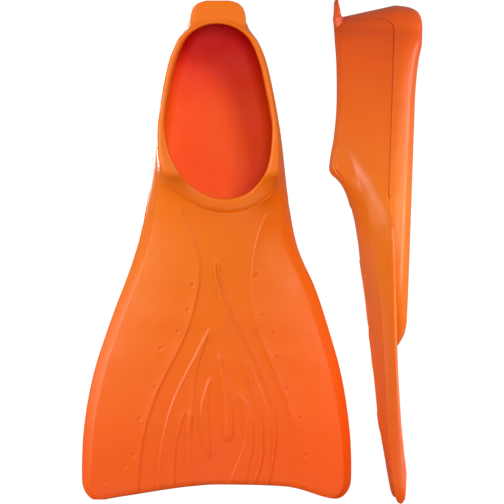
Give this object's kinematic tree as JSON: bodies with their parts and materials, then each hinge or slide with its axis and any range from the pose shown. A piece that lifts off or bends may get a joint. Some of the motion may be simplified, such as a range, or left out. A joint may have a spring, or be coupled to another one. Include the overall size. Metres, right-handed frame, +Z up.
{
  "type": "swim fins",
  "caption": "Pair of closed-heel swim fins in moulded rubber, with foot pocket, rolled collar, heel pull tab and a flared, ribbed blade that flexes.",
  "frame": {"origin": "on the floor under the middle of the pair's bounding box", "axes": "+Z up from the blade tips to the heels, -Y the way the left fin's instep faces, +X towards the right fin"},
  "size_m": [0.2718, 0.2144, 0.4017],
  "materials": {
    "rubber": "semi-gloss moulded orange rubber",
    "inner_rubber": "matt deep orange rubber lining"
  },
  "bodies": {
    "left_foot": {"left_sole": "rubber", "left_side_band": "rubber", "left_insole": "inner_rubber", "left_quarters": "rubber", "left_vamp": "rubber", "left_collar": "rubber", "left_toe_bridge": "rubber", "left_rail_root_inner": "rubber", "left_rail_root_outer": "rubber"},
    "left_blade": {"left_blade_web": "rubber", "left_rail_inner": "rubber", "left_rail_outer": "rubber"},
    "left_tab": {"left_heel_tab": "rubber"},
    "right_foot": {"right_sole": "rubber", "right_side_band": "rubber", "right_insole": "inner_rubber", "right_quarters": "rubber", "right_vamp": "rubber", "right_collar": "rubber", "right_toe_bridge": "rubber", "right_rail_root_inner": "rubber", "right_rail_root_outer": "rubber"},
    "right_blade": {"right_blade_web": "rubber", "right_rail_inner": "rubber", "right_rail_outer": "rubber"},
    "right_tab": {"right_heel_tab": "rubber"}
  },
  "joints": [
    {"name": "right_apart", "type": "slide", "parent": "left_foot", "child": "right_foot", "axis": [0, 1, 0], "range_m": [0, 0.3]},
    {"name": "left_blade_flex", "type": "hinge", "parent": "left_foot", "child": "left_blade", "pos_m": [-0.0287, 0.019, 0.11057], "axis": [-1, 0, 0], "range_deg": [-35, 15], "stiffness_Nm_per_rad": 3},
    {"name": "left_tab_flex", "type": "hinge", "parent": "left_foot", "child": "left_tab", "pos_m": [-0.0287, -0.0325, 0.38917], "axis": [1, 0, 0], "range_deg": [-30, 60], "stiffness_Nm_per_rad": 0.3},
    {"name": "right_blade_flex", "type": "hinge", "parent": "right_foot", "child": "right_blade", "pos_m": [0.10938, 0, 0.11099], "axis": [0, 1, 0], "range_deg": [-35, 15], "stiffness_Nm_per_rad": 3},
    {"name": "right_tab_flex", "type": "hinge", "parent": "right_foot", "child": "right_tab", "pos_m": [0.06812, 0, 0.39129], "axis": [0, -1, 0], "range_deg": [-30, 60], "stiffness_Nm_per_rad": 0.3}
  ]
}
